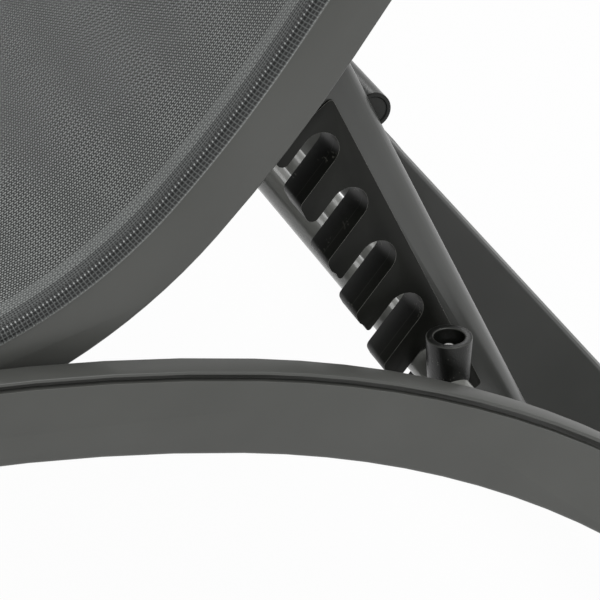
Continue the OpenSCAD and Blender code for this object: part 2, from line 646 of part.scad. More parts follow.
// ---- Slings and the cords in their edges
seat_sling_path = concat(cut_start([for (i = [0:3]) front_bends[i]], seat_sling_from),
    [[toe_r, -seat_sling_turn]]);
seat_sling_start = pose_at(crest_pose, front_path, seat_sling_from);
seat_poses = foot_side(path_poses(seat_sling_start, seat_sling_path));
module seat_sling() color(sling_colour) at_crest() sweep(seat_poses, sling_loop(base_rail_h, half_w));
module seat_cord() color(rubber_colour) at_crest() sweep(seat_poses, cord_loop(base_rail_h, half_w));
module seat_sling_cord_left() seat_cord();
module seat_sling_cord_right() right_side() seat_cord();
back_sling_poses = path_poses(straight(back_start, back_sling_from),
    cut_end(cut_start(back_path, back_sling_from), back_sling_from));
module backrest_sling() color(sling_colour) at_crest()
    sweep(back_sling_poses, sling_loop(back_rail_h, back_half));
module back_cord() color(rubber_colour) at_crest()
    sweep(back_sling_poses, cord_loop(back_rail_h, back_half));
module backrest_sling_cord_left() back_cord();
module backrest_sling_cord_right() right_side() back_cord();

base_rail_left();
base_rail_right();
support_bar();
rear_cross_rail();
seat_tube_rear();
seat_tube_middle();
seat_tube_front();
front_foot_left();
front_foot_right();
rear_foot_left();
rear_foot_right();
buffer_left();
buffer_right();
buffer_screws();
hinge_bolt_left();
hinge_bolt_right();
hinge_washer_left();
hinge_washer_right();
hinge_nut_left();
hinge_nut_right();
seat_sling();
seat_sling_cord_left();
seat_sling_cord_right();
backrest_rail_left();
backrest_rail_right();
backrest_top_bar();
backrest_lower_bar();
strut_pivot_tube();
hinge_bush_left();
hinge_bush_right();
rail_cap_lower_left();
rail_cap_lower_right();
rail_cap_upper_left();
rail_cap_upper_right();
backrest_sling();
backrest_sling_cord_left();
backrest_sling_cord_right();
strut_left();
strut_right();
rack_left();
rack_right();
upper_tie_bar();
lower_tie_bar();
tie_bar_cap_left();
tie_bar_cap_right();
strut_end_cap_left();
strut_end_cap_right();
strut_bush_left();
strut_bush_right();
rack_screws();
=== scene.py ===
# Garden lounger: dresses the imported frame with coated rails, moulded racks and stretched slings.
import json
import math
import bpy
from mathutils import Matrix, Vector


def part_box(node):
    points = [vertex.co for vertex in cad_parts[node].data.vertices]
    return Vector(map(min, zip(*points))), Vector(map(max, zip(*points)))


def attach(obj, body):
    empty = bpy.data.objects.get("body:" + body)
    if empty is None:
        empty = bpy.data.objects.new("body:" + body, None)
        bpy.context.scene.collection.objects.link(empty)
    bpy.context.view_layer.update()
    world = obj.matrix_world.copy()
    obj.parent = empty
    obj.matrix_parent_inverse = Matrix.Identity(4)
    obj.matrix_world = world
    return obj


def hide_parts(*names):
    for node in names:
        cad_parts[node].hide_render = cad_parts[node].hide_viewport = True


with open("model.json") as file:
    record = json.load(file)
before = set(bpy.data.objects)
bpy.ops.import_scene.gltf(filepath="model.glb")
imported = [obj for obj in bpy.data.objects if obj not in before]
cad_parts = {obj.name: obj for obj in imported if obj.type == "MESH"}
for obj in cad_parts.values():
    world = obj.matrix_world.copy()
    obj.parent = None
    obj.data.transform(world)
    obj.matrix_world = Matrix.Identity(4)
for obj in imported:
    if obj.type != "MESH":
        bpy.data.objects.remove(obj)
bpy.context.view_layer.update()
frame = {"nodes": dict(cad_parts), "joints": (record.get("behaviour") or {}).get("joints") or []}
nodes = frame["nodes"]
mm = 0.001  # the scene is in metres


def linear(hexColour):  # sRGB hex to the linear values that the shaders want
    parts = [int(hexColour[i:i + 2], 16) / 255 for i in (1, 3, 5)]
    return [c / 12.92 if c <= 0.04045 else ((c + 0.055) / 1.055) ** 2.4 for c in parts] + [1.0]


def feed(tree, made, key, value):  # gives a node's input a value, or links a socket or a node to it
    if isinstance(value, bpy.types.Node):
        value = next(output for output in value.outputs if output.enabled)
    if isinstance(value, bpy.types.NodeSocket):
        tree.links.new(value, made.inputs[key])
    else:
        made.inputs[key].default_value = value


def addNode(tree, kind, inputs=None, stops=None, **settings):  # stops: colours along a ramp
    made = tree.nodes.new("ShaderNode" + kind)
    for name, value in settings.items():
        setattr(made, name, value)
    for number, (place, colour) in enumerate(stops or ()):
        elements = made.color_ramp.elements  # a new ramp comes with two stops
        slot = elements[number] if number < 2 else elements.new(place)
        slot.position, slot.color = place, linear(colour)
    for key, value in (inputs or {}).items():
        feed(tree, made, key, value)
    return made


def newMaterial(name, rough, ior=1.5):
    material = bpy.data.materials.new(name)
    material.use_nodes = True
    tree = material.node_tree
    shader = tree.nodes["Principled BSDF"]
    shader.inputs["Roughness"].default_value = rough
    shader.inputs["IOR"].default_value = ior
    place = addNode(tree, "TexCoord").outputs["Object"]
    return material, tree, shader, place


powder = {
    "cloud": 70,           # size of the slightly lighter and darker patches, mm
    "gloss": 0.05,         # how much the roughness varies with them, either way
    "peel": 2.4,           # spacing of the orange peel's bumps, mm
    "height": 0.03,        # their height, mm
    "dust": 7,             # spacing of the places where a speck of dust can lie, mm
    "speck": 0.035,        # radius of a speck, as a share of that spacing
    "clean": 0.93,         # share of those places that have no speck
}


def powderCoat(name, low, high, rough):
    # polyester powder baked on aluminium: one even colour, satin, with a slight orange peel and a
    # little dust; the paler, glossier copies made for rounded edges are painted highlights
    material, tree, shader, place = newMaterial(name, rough)
    cloud = addNode(tree, "TexNoise", {"Vector": place, "Scale": 1 / (powder["cloud"] * mm), "Detail": 3})
    colour = addNode(tree, "ValToRGB", {0: cloud}, stops=[(0.3, low), (0.7, high)])
    peel = addNode(tree, "TexNoise", {"Vector": place, "Scale": 1 / (powder["peel"] * mm), "Detail": 1})
    grit = addNode(tree, "TexVoronoi", {"Vector": place, "Scale": 1 / (powder["dust"] * mm)})
    speck = addNode(tree, "Math", {0: grit.outputs["Distance"], 1: powder["speck"]},
                    operation="LESS_THAN")
    rare = addNode(tree, "Math", {0: grit.outputs["Color"], 1: powder["clean"]},
                   operation="GREATER_THAN")
    dust = addNode(tree, "Math", {0: speck, 1: rare}, operation="MULTIPLY")
    mixed = addNode(tree, "Mix", {0: dust, 6: colour, 7: linear("#8c8c88")}, data_type="RGBA")
    feed(tree, shader, "Base Color", mixed)
    sheen = addNode(tree, "MapRange", {0: cloud, 3: rough - powder["gloss"], 4: rough + powder["gloss"]})
    feed(tree, shader, "Roughness", sheen)
    bumps = addNode(tree, "Bump", {"Height": peel, "Distance": powder["height"] * mm, "Strength": 0.5})
    feed(tree, shader, "Normal", bumps)
    return material


rack = {
    "edge": 0.8,           # rounding of the edges, mm
    "parting": 1 / 3,      # place of the mould's parting line, as a share of the thickness
    "seam": (0.15, 0.45),  # where that line starts and stops fading, from its middle, mm
    "cloud": 22,           # size of the lighter and darker patches, mm
    "grain": 0.9,          # spacing of the mould's grain, mm: the real 0.1 mm is too fine to show
    "height": 0.06,        # height of the grain, mm
    "scratch": 1.3,        # spacing of the scratches, mm: coarser than real ones, so that they show
    "turn": (0.4, 0.5, 0),  # turn of the scratches, radians: 0.5 against the floor
    "along": (0.12, 0.3, 1.0),  # how their pattern is scaled each way: small is long
    "rubbed": 26,          # size of the rubbed patches, mm
    "unworn": (2, 1),      # depth under the outer face where the scratches begin to fade and end, mm
}
rackLow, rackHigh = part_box("rack_left")
rackFace = -rackLow.y  # the outer face's distance from the middle of the lounger
rackSeam = rackFace - rack["parting"] * (rackHigh.y - rackLow.y)


def mouldedNylon(name):
    # glass-filled nylon from a spark-eroded mould: near black and matt, a fine parting line round the
    # plate, and in the slots, where the bar rubs, patches of pale scratches
    material, tree, shader, place = newMaterial(name, 0.46, 1.48)
    shader.inputs["Specular IOR Level"].default_value = 0.24
    cloud = addNode(tree, "TexNoise", {"Vector": place, "Scale": 1 / (rack["cloud"] * mm), "Detail": 4})
    colour = addNode(tree, "ValToRGB", {0: cloud}, stops=[(0.35, "#121310"), (0.7, "#191a16")])
    grain = addNode(tree, "TexNoise", {"Vector": place, "Scale": 1 / (rack["grain"] * mm), "Detail": 2})
    sideways = addNode(tree, "SeparateXYZ", {0: place}).outputs[1]
    sideways = addNode(tree, "Math", {0: sideways}, operation="ABSOLUTE")
    fromSeam = addNode(tree, "Math", {0: sideways, 1: rackSeam}, operation="SUBTRACT")
    fromSeam = addNode(tree, "Math", {0: fromSeam}, operation="ABSOLUTE")
    near, far = rack["seam"]
    seam = addNode(tree, "MapRange", {0: fromSeam, 1: near * mm, 2: far * mm, 3: 1.0, 4: 0.0})
    # scratches: long thin streaks, only in rubbed patches and not on the outer face
    streaks = addNode(tree, "Mapping", {"Vector": place, "Rotation": rack["turn"], "Scale": rack["along"]})
    fibres = addNode(tree, "TexNoise", {"Vector": streaks, "Scale": 1 / (rack["scratch"] * mm),
                                        "Detail": 1})
    line = addNode(tree, "MapRange", {0: fibres, 1: 0.60, 2: 0.66})
    patch = addNode(tree, "TexNoise", {"Vector": place, "Scale": 1 / (rack["rubbed"] * mm), "Detail": 1})
    rubbed = addNode(tree, "MapRange", {0: patch, 1: 0.58, 2: 0.66})
    fade, end = rack["unworn"]
    inside = addNode(tree, "MapRange", {0: sideways, 1: rackFace - fade * mm, 2: rackFace - end * mm,
                                        3: 0.5, 4: 0.0})
    worn = addNode(tree, "Math", {0: rubbed, 1: inside}, operation="MULTIPLY")
    scratch = addNode(tree, "Math", {0: line, 1: worn}, operation="MULTIPLY")
    marks = addNode(tree, "Math", {0: seam, 1: 0.12, 2: scratch}, operation="MULTIPLY_ADD")
    pale = addNode(tree, "Mix", {0: marks, 6: colour, 7: linear("#77776f")}, data_type="RGBA")
    feed(tree, shader, "Base Color", pale)
    bumps = addNode(tree, "Bump", {"Height": grain, "Distance": rack["height"] * mm, "Strength": 0.5})
    feed(tree, shader, "Normal", bumps)
    return material


cap = {
    "cloud": 15,           # size of the lighter and darker patches, mm
    "grain": 1.1,          # spacing of the mould's grain, mm: coarser than the real one, to show
    "height": 0.06,        # height of the grain, mm
}


def mouldedCap(name, low, high, rough):
    # plastic or rubber skin from a grained mould: satin, uneven where hands have touched it; the
    # pale copies made for rounded edges are painted highlights
    material, tree, shader, place = newMaterial(name, rough, 1.49)
    shader.inputs["Specular IOR Level"].default_value = 0.3
    cloud = addNode(tree, "TexNoise", {"Vector": place, "Scale": 1 / (cap["cloud"] * mm), "Detail": 4})
    colour = addNode(tree, "ValToRGB", {0: cloud}, stops=[(0.35, low), (0.75, high)])
    feed(tree, shader, "Base Color", colour)
    grain = addNode(tree, "TexVoronoi", {"Vector": place, "Scale": 1 / (cap["grain"] * mm)},
                    feature="SMOOTH_F1")
    bumps = addNode(tree, "Bump", {"Height": grain, "Distance": cap["height"] * mm, "Strength": 0.5})
    feed(tree, shader, "Normal", bumps)
    return material


rubberSkin = {
    "dust": 2.3,           # spacing of the places where a speck of dust can lie, mm
    "speck": (0.10, 0.17),  # where a speck starts and stops fading, as a share of that spacing
    "clean": 0.62,         # share of those places that have no speck
    "grain": 1.3,          # spacing of the mould's grain, mm: coarser than the real one, to show
    "height": 0.25,        # height of the grain, mm
}


def mouldedRubber(name):
    # carbon-black rubber: near black with a coarse mould grain that glints, and specks of dust
    material, tree, shader, place = newMaterial(name, 0.32, 1.52)
    shader.inputs["Specular IOR Level"].default_value = 0.4
    dots = addNode(tree, "TexVoronoi", {"Vector": place, "Scale": 1 / (rubberSkin["dust"] * mm)})
    start, end = rubberSkin["speck"]
    near = addNode(tree, "MapRange", {0: dots.outputs["Distance"], 1: start, 2: end, 3: 1.0, 4: 0.0})
    some = addNode(tree, "Math", {0: dots.outputs["Color"], 1: rubberSkin["clean"]},
                   operation="GREATER_THAN")
    speck = addNode(tree, "Math", {0: near, 1: some}, operation="MULTIPLY")
    colour = addNode(tree, "Mix", {0: speck, 6: linear("#111210"), 7: linear("#6f706a")},
                     data_type="RGBA")
    feed(tree, shader, "Base Color", colour)
    grain = addNode(tree, "TexNoise", {"Vector": place, "Scale": 1 / (rubberSkin["grain"] * mm),
                                       "Detail": 3})
    bumps = addNode(tree, "Bump", {"Height": grain, "Distance": rubberSkin["height"] * mm,
                                   "Strength": 0.8})
    feed(tree, shader, "Normal", bumps)
    return material


turned = {
    "marks": 0.7,          # spacing of the tool marks, mm: coarser than the real ones, to show
    "height": 0.04,        # their height, mm
}


def turnedMetal(name, rough, metallic):
    # turned stainless steel, or zinc-plated steel dulled by weather: pale, with fine tool marks
    material, tree, shader, place = newMaterial(name, rough)
    shader.inputs["Metallic"].default_value = metallic
    marks = addNode(tree, "TexNoise", {"Vector": place, "Scale": 1 / (turned["marks"] * mm), "Detail": 3})
    colour = addNode(tree, "ValToRGB", {0: marks}, stops=[(0.3, "#d4d5d3"), (0.7, "#f2f2f0")])
    feed(tree, shader, "Base Color", colour)
    bumps = addNode(tree, "Bump", {"Height": marks, "Distance": turned["height"] * mm, "Strength": 0.4})
    feed(tree, shader, "Normal", bumps)
    return material


sling = {
    "yarn": 2.46,         # spacing of the yarns across the cloth, mm
    "pick": 2.14,         # spacing of the picks along a yarn, mm
    "rib": 3.10,          # spacing of the heavier picks, mm
    "hole": 2.35,         # spacing of the needle holes, mm
    "cloud": 9,           # size of the slightly lighter and darker patches, mm
    "height": 0.35,       # height of the yarns, mm
    "bands": {            # from the edge in the rail's groove inwards, mm: from, until
        # the band on the bend into the groove and the band of bright dashes on the crest are painted
        # highlights
        "fold": (-1.2, 0.5), "hem": (0.5, 14.0), "crestHighlight": (8.3, 10.0),
        "holes": (13.6, 22.5), "pale": (22.5, 35.5)},
    "soft": 0.4,          # half of the width over which a band fades, mm
    "endHem": 26.0,       # folded hem at the free ends, mm
    "endLift": 0.5,       # how far that hem stands proud, mm
    "endRows": (19.0, 23.0),  # its two rows of stitches, from the free end, mm
    "endStitch": 6.2,     # spacing of those stitches, mm
    "thread": 0.7,        # half of a row's width, mm
    "thick": 0.9,         # cloth, mm
    "ring": 9.0,          # length of a row of faces, mm
    "columns": 22,        # faces from the inner end of the edge to the middle
    "above": 0.4,         # room between the rail's top and the cloth, mm
    "down": 6.3,          # the groove's depth below the rail's top, mm
    "edge": (             # over the rail: level, up from it and out from the rail's side, mm
        ("groove", 0, -3), ("groove", 0, -0.2), ("groove", 0.4, 0.7), ("groove", 2, 0.9),
        ("groove", 4, 0.8), ("top", -1, 0.6), ("top", -0.3, -0.3), ("top", 0, -1.2), ("top", 0, -6),
        ("top", 0, -11), ("top", 0, -16), ("top", 0, -20)),
    "tucked": 2,          # points of that edge before the cloth leaves the groove
    "droop": 0.15,        # share of the greatest sag that the cloth has before it settles
}


def slingWeave(name):
    # PVC-coated polyester yarn woven as a sling: round glossy yarns with dark gaps, doubled and sewn
    # where it lies on the rails, with painted highlights along its bend into the groove and in a row of
    # bright dashes on the crest just inside the rail's top corner; UV map in millimetres, x from the
    # middle and y along the cloth, edgeMm is the distance from the edge in the rail's groove and endMm
    # that from the free end
    material, tree, shader, place = newMaterial(name, 0.40)
    uv = addNode(tree, "UVMap", uv_map="clothMm")
    turn = 2 * math.pi
    yarn, pick, rib, hole = (turn / sling[size] for size in ("yarn", "pick", "rib", "hole"))

    def wave(across, along):  # a ripple on the cloth, from its two turns per millimetre
        way = addNode(tree, "VectorMath", {0: uv, 1: (across, along, 0)}, operation="DOT_PRODUCT")
        return addNode(tree, "Math", {0: way}, operation="COSINE")

    # yarns side by side, each crossed by picks that are staggered from yarn to yarn, and by heavier
    # picks; each ripple has its share in the whole
    total = addNode(tree, "TexNoise", {"Vector": place, "Scale": 1 / (sling["cloud"] * mm), "Detail": 2})
    total = addNode(tree, "MapRange", {0: total, 3: 0.38, 4: 0.62}, clamp=False)
    for across, along, weight in (
            (yarn, 0, 0.42), (yarn / 2, pick, 0.28), (yarn / 2, -pick, 0.28), (0, rib, 0.20),
            (yarn / 2, rib / 2, 0.18), (yarn / 2, -rib / 2, 0.18)):
        total = addNode(tree, "Math", {0: wave(across, along), 1: weight, 2: total},
                        operation="MULTIPLY_ADD")
    colour = addNode(tree, "ValToRGB", {0: total},
                     stops=[(0.0, "#101211"), (0.35, "#3b3e3d"), (0.7, "#6b6e6c"), (1.0, "#a5a8a6")])
    edge = addNode(tree, "Attribute", attribute_name="edgeMm").outputs["Fac"]
    end = addNode(tree, "Attribute", attribute_name="endMm").outputs["Fac"]
    masks = {}
    soft = sling["soft"]
    for band, (low, high) in sling["bands"].items():
        rising = addNode(tree, "MapRange", {0: edge, 1: low - soft, 2: low + soft})
        falling = addNode(tree, "MapRange", {0: edge, 1: high - soft, 2: high + soft, 3: 1.0, 4: 0.0})
        masks[band] = addNode(tree, "Math", {0: rising, 1: falling}, operation="MULTIPLY")
    ribs = addNode(tree, "MapRange", {0: wave(0, rib), 1: 0.45, 2: 0.95})
    # dashes of painted highlight along the crest over the rail's top corner
    crestDashes = addNode(tree, "MapRange", {0: wave(0, rib), 1: 0.2, 2: 0.8})
    grid = addNode(tree, "Math", {0: wave(hole, 0), 1: wave(0, hole)})
    holes = addNode(tree, "MapRange", {0: grid, 1: -0.2, 2: 0.9, 3: 1.0, 4: 0.0})
    seams = addNode(tree, "MapRange", {0: wave(hole, 0), 1: 0.3, 2: 1.0, 3: 0.0, 4: 0.6})
    lattice = addNode(tree, "Math", {0: ribs, 1: seams}, operation="MAXIMUM")
    # each band covers the cloth with its own two tones: dark, light, pattern, cover; the pale band on the
    # bend into the groove and the bright dashes on the crest are painted highlights
    for band, dark, light, pattern, cover in (
            ("pale", "#606362", "#8e918f", total, 0.75), ("holes", "#141616", "#5f6261", holes, 0.9),
            ("hem", "#101212", "#5a5d5c", lattice, 0.95), ("crestHighlight", "#232525", "#c0c3c2", crestDashes, 0.95),
            ("fold", "#8a8d8b", "#a5a8a6", ribs, 0.9)):
        tones = addNode(tree, "Mix", {0: pattern, 6: linear(dark), 7: linear(light)}, data_type="RGBA")
        amount = addNode(tree, "Math", {0: masks[band], 1: cover}, operation="MULTIPLY")
        colour = addNode(tree, "Mix", {0: amount, 6: colour, 7: tones}, data_type="RGBA")
    # two rows of stitches along the folded hem at the free ends
    dashes = addNode(tree, "MapRange", {0: wave(turn / sling["endStitch"], 0), 1: -0.5, 2: -0.1})
    for start in sling["endRows"]:
        row = addNode(tree, "Math", {0: end, 1: start, 2: sling["thread"]}, operation="COMPARE")
        sewn = addNode(tree, "Math", {0: row, 1: dashes}, operation="MULTIPLY")
        colour = addNode(tree, "Mix", {0: sewn, 6: colour, 7: linear("#b5b8b9")},
                         data_type="RGBA")
    feed(tree, shader, "Base Color", colour)
    bumps = addNode(tree, "Bump", {"Height": total, "Distance": sling["height"] * mm, "Strength": 0.6})
    feed(tree, shader, "Normal", bumps)
    return material


railCoat = powderCoat("anthracitePowderCoat", "#4e4f4c", "#545552", 0.42)
# painted highlight: a paler, glossier copy of the anthracite coat for the rounded edges
railPaintedHighlight = powderCoat("anthracitePaintedHighlight", "#7c7d7a", "#898a87", 0.24)
# painted shade: a darker copy of the anthracite coat for the rear cross rail
crossShadedCoat = powderCoat("anthraciteShadedCoat", "#424341", "#474846", 0.45)
strutCoat = powderCoat("warmGreyPowderCoat", "#464745", "#4c4d4b", 0.30)
# painted highlight: a paler copy of the warm grey coat for the strut's rounded edges
strutPaintedHighlight = powderCoat("warmGreyPaintedHighlight", "#50514e", "#5a5b58", 0.26)
nylon = mouldedNylon("blackGlassNylon")
# painted highlight: a pale copy of the nylon for the racks' rounded edges
nylonPaintedHighlight = mouldedCap("blackNylonPaintedHighlight", "#7c7d78", "#8f908a", 0.25)
capPlastic = mouldedCap("blackPolypropylene", "#1a1b19", "#242523", 0.45)
capDisc = mouldedCap("blackSunkPolypropylene", "#272826", "#313230", 0.50)
rubber = mouldedRubber("blackMouldedRubber")
# painted highlight: a pale copy of the rubber for the buffers' rounded rims
rubberPaintedHighlight = mouldedCap("blackRubberPaintedHighlight", "#3c3d3a", "#4c4d4a", 0.3)
# painted highlight: a paler, glossier copy of the warm grey coat for the round bars seen through the slots
litTubeCoat = powderCoat("warmGreyLitTubeCoat", "#787975", "#82837f", 0.22)
zinc = turnedMetal("brightZincPlate", 0.4, 0.3)
steel = turnedMetal("turnedStainless", 0.22, 1.0)
weave = slingWeave("greySlingWeave")
print("materials ready")


def selectOnly(piece):
    bpy.ops.object.select_all(action="DESELECT")
    piece.select_set(True)
    bpy.context.view_layer.objects.active = piece


def pickFaces(piece, wanted):  # leaves the piece in edit mode with the wanted faces selected
    selectOnly(piece)
    bpy.ops.object.mode_set(mode="EDIT")
    bpy.ops.mesh.select_mode(type="FACE")
    bpy.ops.mesh.select_all(action="DESELECT")
    bpy.ops.object.mode_set(mode="OBJECT")
    for polygon in piece.data.polygons:
        polygon.select = wanted(polygon)
    bpy.ops.object.mode_set(mode="EDIT")


def coatPiece(piece, materials):  # the first material goes all over, the others wait in their slots
    piece.data.materials.clear()
    for material in materials:
        piece.data.materials.append(material)
    for polygon in piece.data.polygons:
        polygon.material_index = 0


def finishPiece(piece, name, body, replaced=()):
    piece.name = name
    piece.data.name = name
    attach(piece, body)
    if replaced:
        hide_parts(*replaced)


def applyModifiers(piece):
    selectOnly(piece)
    for modifier in list(piece.modifiers):
        bpy.ops.object.modifier_apply(modifier=modifier.name)


def mergedCopy(nodeName):  # a clean copy of a frame node: doubles merged, flat faces made whole
    source = nodes[nodeName]
    copy = bpy.data.objects.new(nodeName + "Copy", source.data.copy())
    bpy.context.scene.collection.objects.link(copy)
    selectOnly(copy)
    if copy.data.has_custom_normals:
        bpy.ops.mesh.customdata_custom_splitnormals_clear()
    bpy.ops.object.mode_set(mode="EDIT")
    bpy.ops.mesh.select_all(action="SELECT")
    bpy.ops.mesh.remove_doubles(threshold=0.02 * mm)
    bpy.ops.mesh.dissolve_limited(angle_limit=math.radians(0.4))
    bpy.ops.object.mode_set(mode="OBJECT")
    return copy


def roundEdges(piece, edgeMm, steps=2, above=38, edgeSlot=1):
    rounding = piece.modifiers.new("edges", "BEVEL")
    rounding.width = edgeMm * mm
    rounding.segments = steps
    rounding.limit_method = "ANGLE"
    rounding.angle_limit = math.radians(above)
    rounding.material = edgeSlot
    applyModifiers(piece)


def dress(nodeName, name, materials, body, edgeMm, steps=2):
    piece = mergedCopy(nodeName)
    coatPiece(piece, materials)
    roundEdges(piece, edgeMm, steps, edgeSlot=len(materials) - 1)
    bpy.ops.object.shade_smooth_by_angle(angle=math.radians(32))
    finishPiece(piece, name, body, [nodeName])


sides = (("left", "Left"), ("right", "Right"))
# the second material of each finish goes on the rounded edges and is a painted highlight
railFinish, strutFinish = (railCoat, railPaintedHighlight), (strutCoat, strutPaintedHighlight)
for side, word in sides:
    for nodeName, name, materials, body, slot, edgeMm, steps in (
            ("base_rail_", "baseRail", railFinish, "base", "rail_coat", 0.5, 2),
            ("backrest_rail_", "backrestRail", railFinish, "backrest", "rail_coat", 0.5, 2),
            ("strut_", "strut", strutFinish, "strut_frame", "strut_coat", 0.6, 2),
            ("front_foot_", "frontShoe", (capPlastic,), "base", "black_plastic", 1.0, 3),
            ("rear_foot_", "rearShoe", (capPlastic,), "base", "black_plastic", 1.0, 3),
            ("hinge_bolt_", "hingeBolt", (steel,), "base", "fastener_steel", 0.3, 2),
            ("hinge_nut_", "hingeNut", (steel,), "base", "fastener_steel", 0.4, 2),
            ("hinge_washer_", "hingeWasher", (capPlastic,), "base", "black_plastic", 0.5, 2),
            ("rail_cap_lower_", "railCapLower", (capPlastic,), "backrest", "black_plastic", 0.8, 2),
            ("rail_cap_upper_", "railCapUpper", (capPlastic,), "backrest", "black_plastic", 0.8, 2),
            ("strut_end_cap_", "strutEndCap", (capPlastic,), "strut_frame", "black_plastic", 1.0, 3),
            ("strut_bush_", "strutBush", (capPlastic,), "strut_frame", "black_plastic", 0.3, 2)):
        dress(nodeName + side, name + word, materials, body, edgeMm, steps)
# the rear cross rail wears the darker copy of the anthracite coat: painted shade
dress("rear_cross_rail", "rearCrossRail", (crossShadedCoat, railPaintedHighlight), "base", 0.4)
dress("buffer_screws", "bufferScrews", (zinc,), "base", 1.2, 4)
# the support bar and the lower tie bar take the paler copy of the warm grey coat: painted highlight
for nodeName, material in (
        ("support_bar", litTubeCoat), ("seat_tube_rear", railCoat), ("seat_tube_middle", railCoat),
        ("seat_tube_front", railCoat), ("backrest_top_bar", railCoat), ("backrest_lower_bar", railCoat),
        ("strut_pivot_tube", railCoat), ("upper_tie_bar", strutCoat), ("lower_tie_bar", litTubeCoat),
        ("hinge_bush_left", capPlastic), ("hinge_bush_right", capPlastic), ("rack_screws", steel),
        ("seat_sling_cord_left", capPlastic), ("seat_sling_cord_right", capPlastic),
        ("backrest_sling_cord_left", capPlastic), ("backrest_sling_cord_right", capPlastic)):
    for nodeSlot in nodes[nodeName].material_slots:  # these keep the frame's own shape
        nodeSlot.material = material
print("frame dressed")


def makeRack(side, word):  # the ratchet plates: the frame's shape with crisp rounded edges
    piece = mergedCopy("rack_" + side)
    coatPiece(piece, (nylon, nylonPaintedHighlight))
    # the rounded edges take the pale nylon copy: painted highlight
    roundEdges(piece, rack["edge"], above=40)
    bpy.ops.object.shade_smooth_by_angle(angle=math.radians(35))
    finishPiece(piece, "rack" + word, "strut_frame", ["rack_" + side])


tieCap = {
    "rim": 2.6,            # width of the raised rim, mm
    "step": 0.4,           # width of the slope down to the disc, mm
    "sunk": 1.0,           # how far the disc lies below the rim, mm
    "edge": 0.5,           # rounding of the edges, mm
    "flat": 0.05,          # how far from the outermost place a face of the end may lie, mm
}


def makeTieBarCap(side, word, way):  # a raised rim round a sunk disc; way: -1 left, 1 right
    piece = mergedCopy("tie_bar_cap_" + side)
    coatPiece(piece, (capPlastic, capDisc))
    outermost = max(way * polygon.center.y for polygon in piece.data.polygons)
    near = outermost - tieCap["flat"] * mm
    pickFaces(piece, lambda polygon: way * polygon.normal.y > 0.99 and way * polygon.center.y > near)
    bpy.ops.mesh.inset(thickness=tieCap["rim"] * mm, depth=0)
    bpy.ops.mesh.inset(thickness=tieCap["step"] * mm, depth=-tieCap["sunk"] * mm)
    bpy.ops.object.mode_set(mode="OBJECT")
    for polygon in piece.data.polygons:
        if polygon.select:
            polygon.material_index = 1
    roundEdges(piece, tieCap["edge"], above=34, edgeSlot=0)
    bpy.ops.object.shade_smooth_by_angle(angle=math.radians(32))
    finishPiece(piece, "tieBarCap" + word, "strut_frame", ["tie_bar_cap_" + side])


for (side, word), way in zip(sides, (-1, 1)):
    makeRack(side, word)
    makeTieBarCap(side, word, way)
print("racks and plugs made")

buffer = {
    "edge": 0.7,           # rounding of the rim, mm
    "floor": 15.0,         # solid rubber under the hollow, mm
    "foot": 28 / 31,       # radius at the foot, as a share of the rim's
    "hollow": 21 / 31,     # radius of the hollow, likewise
    "taper": 0.94,         # radius of the hollow's floor, as a share of its mouth's
    "slices": 64,          # faces round it
}


def makeBuffer(side, word):  # a rubber cup, wider at its mouth than at its foot
    low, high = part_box("buffer_" + side)
    centre = (low + high) / 2
    radius = (high.x - low.x) / 2
    height = high.z - low.z
    hole = radius * buffer["hollow"]
    bpy.ops.object.select_all(action="DESELECT")
    bpy.ops.mesh.primitive_cylinder_add(vertices=buffer["slices"], radius=radius * buffer["foot"],
                                        depth=height, location=centre)
    piece = bpy.context.active_object
    bpy.ops.object.transform_apply(location=True, rotation=False, scale=False)
    pickFaces(piece, lambda polygon: polygon.normal.z > 0.9)
    bpy.ops.transform.resize(value=(1 / buffer["foot"], 1 / buffer["foot"], 1))
    bpy.ops.mesh.inset(thickness=radius - hole, depth=0)
    bpy.ops.mesh.extrude_region_move(TRANSFORM_OT_translate={"value": (0, 0, buffer["floor"] * mm - height)})
    bpy.ops.transform.resize(value=(buffer["taper"], buffer["taper"], 1))
    bpy.ops.object.mode_set(mode="OBJECT")
    coatPiece(piece, (rubber, rubberPaintedHighlight))
    # the rounded rims take the pale rubber copy: painted highlight
    roundEdges(piece, buffer["edge"], 3, above=50)
    bpy.ops.object.shade_smooth_by_angle(angle=math.radians(40))
    finishPiece(piece, "buffer" + word, "base", ["buffer_" + side])


for side, word in sides:
    makeBuffer(side, word)
print("buffers made")


def advance(pose, stretch):  # pose: x, z, slope in degrees; stretch: radius and turn, or 0 and length
    x, z, slope = pose
    size, amount = stretch
    angle = math.radians(slope)
    if size == 0:
        return (x + amount * math.cos(angle), z + amount * math.sin(angle), slope)
    way = 1 if amount > 0 else -1
    after = math.radians(slope + amount)
    cx, cz = x - way * size * math.sin(angle), z + way * size * math.cos(angle)
    return (cx + way * size * math.sin(after), cz - way * size * math.cos(after), slope + amount)


def stretchLength(stretch):  # of an arc or a straight, m
    return stretch[1] if stretch[0] == 0 else stretch[0] * abs(math.radians(stretch[1]))


def alongPath(pose, path, distance):  # the pose at a distance along the path, from its first pose
    for stretch in path[:-1]:
        size = stretchLength(stretch)
        if distance <= size:
            return advance(pose, (stretch[0], stretch[1] * (distance / size)))
        pose = advance(pose, stretch)
        distance -= size
    return advance(pose, (path[-1][0], path[-1][1] * (distance / stretchLength(path[-1]))))


